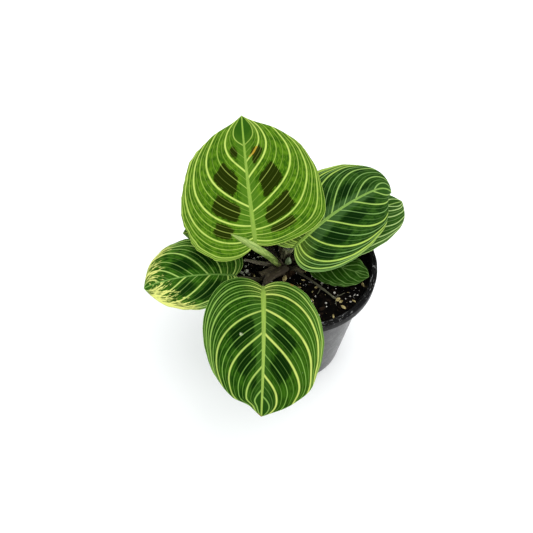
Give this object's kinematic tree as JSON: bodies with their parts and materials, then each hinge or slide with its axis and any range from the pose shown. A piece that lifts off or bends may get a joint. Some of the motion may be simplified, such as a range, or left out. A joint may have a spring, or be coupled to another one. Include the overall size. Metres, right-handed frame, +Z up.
{
  "type": "potted prayer plant",
  "caption": "Prayer plant with broad striped leaves on short stalks, standing in soil in a round black nursery pot.",
  "frame": {"origin": "centre of the underside of the pot, on the surface it stands on", "axes": "+Z up along the pot's axis; the front leaf points to -Y and the right leaf to +X and +Y"},
  "size_m": [0.1759, 0.2092, 0.1523],
  "materials": {
    "pot_plastic": "satin black moulded plastic, slightly scuffed at the rim",
    "soil": "damp dark potting mix with white perlite grains",
    "crown": "dark brown fibrous stem base",
    "leaf_bright": "satin leaf, bright green with light veins and brown-olive blotches",
    "leaf_dark": "satin leaf, dark green with light yellow-green veins",
    "leaf_plain": "satin young leaf, plain green with faint veins",
    "petiole": "matt brown-olive leaf stalk",
    "new_leaf": "pale grey-green rolled leaf",
    "bud": "blue-green bud",
    "dry_stalk": "dry tan-brown stalk"
  },
  "bodies": {
    "root": {"pot": "pot_plastic", "soil": "soil", "crown": "crown", "leaf_back": "leaf_bright", "leaf_front": "leaf_dark", "leaf_right": "leaf_dark", "leaf_far_right": "leaf_dark", "leaf_low": "leaf_plain", "leaf_left": "leaf_dark", "leaf_hidden": "leaf_dark", "petiole_back": "petiole", "petiole_front": "petiole", "petiole_right": "petiole", "petiole_far_right": "petiole", "petiole_low": "petiole", "petiole_left": "petiole", "petiole_hidden": "petiole", "new_leaf": "new_leaf", "bud": "bud", "dry_petiole": "dry_stalk", "dry_runner": "dry_stalk"}
  },
  "joints": []
}
